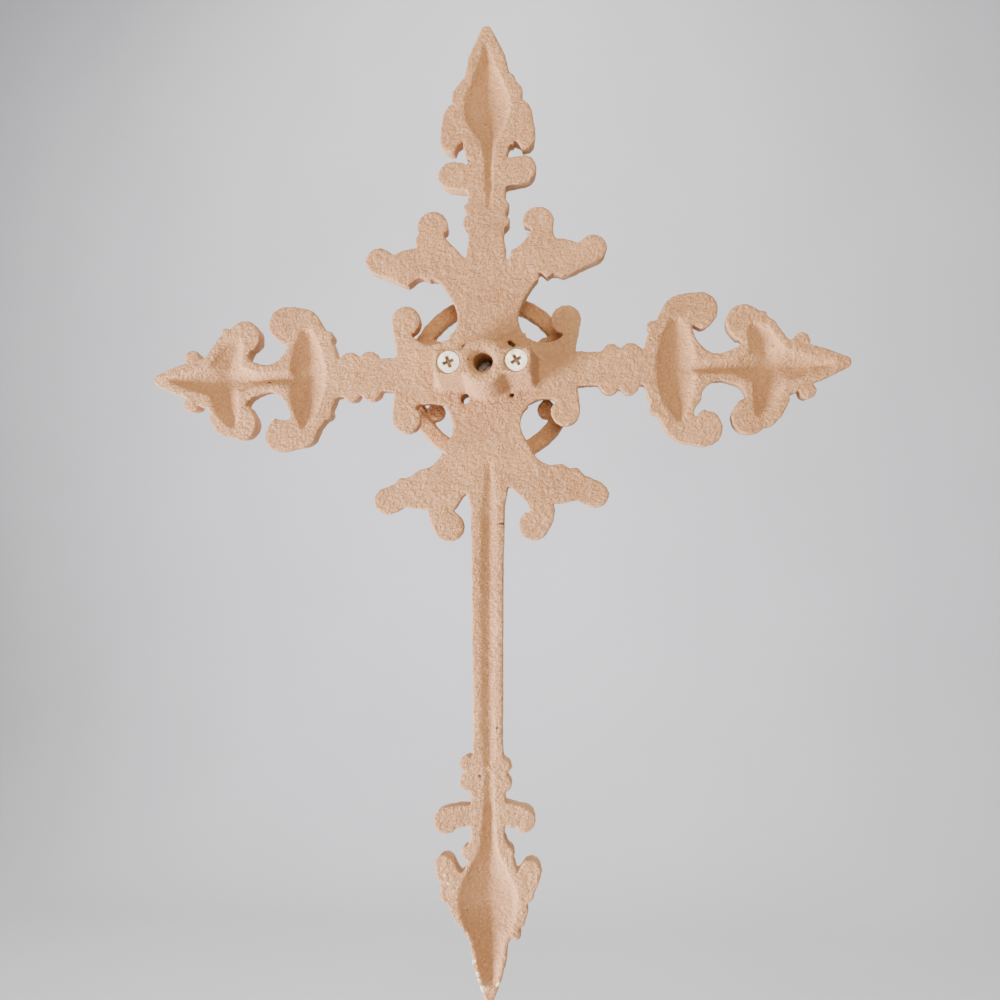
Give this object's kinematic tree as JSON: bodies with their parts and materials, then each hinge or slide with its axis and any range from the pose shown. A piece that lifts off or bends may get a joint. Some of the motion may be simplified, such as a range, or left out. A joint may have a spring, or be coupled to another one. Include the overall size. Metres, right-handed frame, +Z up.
{
  "type": "wall cross",
  "caption": "Cast iron wall cross with leaf-tipped arms, scrolls, a ring on the front and a drilled boss on the back that hangs it from a nail.",
  "frame": {"origin": "centre of the hanging bore's mouth, on the back face of the boss, which is the plane of the wall", "axes": "+Z up along the cross's long shaft, +Y out of the back towards the wall, -Y the front, +X to the right as the front is seen"},
  "size_m": [0.3224, 0.0424, 0.445],
  "materials": {
    "painted_iron": "matt brown paint over a sand-cast surface",
    "painted_ring": "matt brown paint over a sand-cast surface",
    "zinc_steel": "pale zinc plate",
    "dark_steel": "dulled dark steel"
  },
  "bodies": {
    "root": {"cross_casting": "painted_iron", "front_wheel": "painted_ring", "screw_left": "zinc_steel", "screw_right": "zinc_steel", "centre_screw": "dark_steel"}
  },
  "joints": []
}
